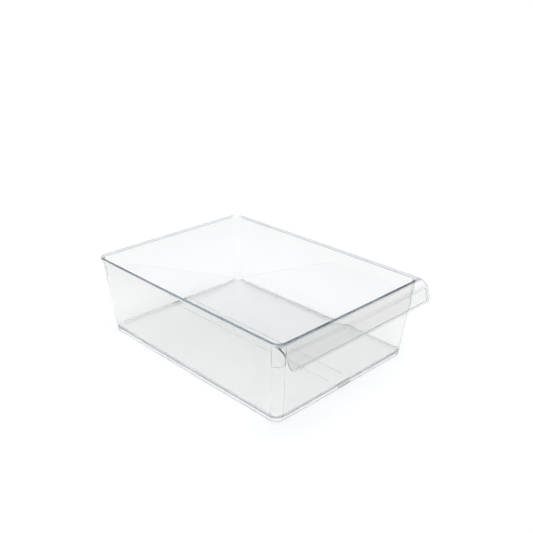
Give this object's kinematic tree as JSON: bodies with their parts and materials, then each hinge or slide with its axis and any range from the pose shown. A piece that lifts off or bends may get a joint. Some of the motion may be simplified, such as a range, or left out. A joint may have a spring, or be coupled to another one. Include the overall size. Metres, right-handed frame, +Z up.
{
  "type": "refrigerator bin",
  "caption": "Clear open-topped refrigerator bin with leaning walls, rounded corners, a rim lip and a full-width curled handle flap.",
  "frame": {"origin": "on the shelf under the middle of the whole bin, handle included; z = 0 is the underside of the foot", "axes": "+Z up, -Y towards the handle, X across the width along the handle"},
  "size_m": [0.243, 0.3492, 0.103],
  "materials": {
    "clear_plastic": "clear, smooth and glossy"
  },
  "bodies": {
    "root": {"bin_body": "clear_plastic"}
  },
  "joints": []
}
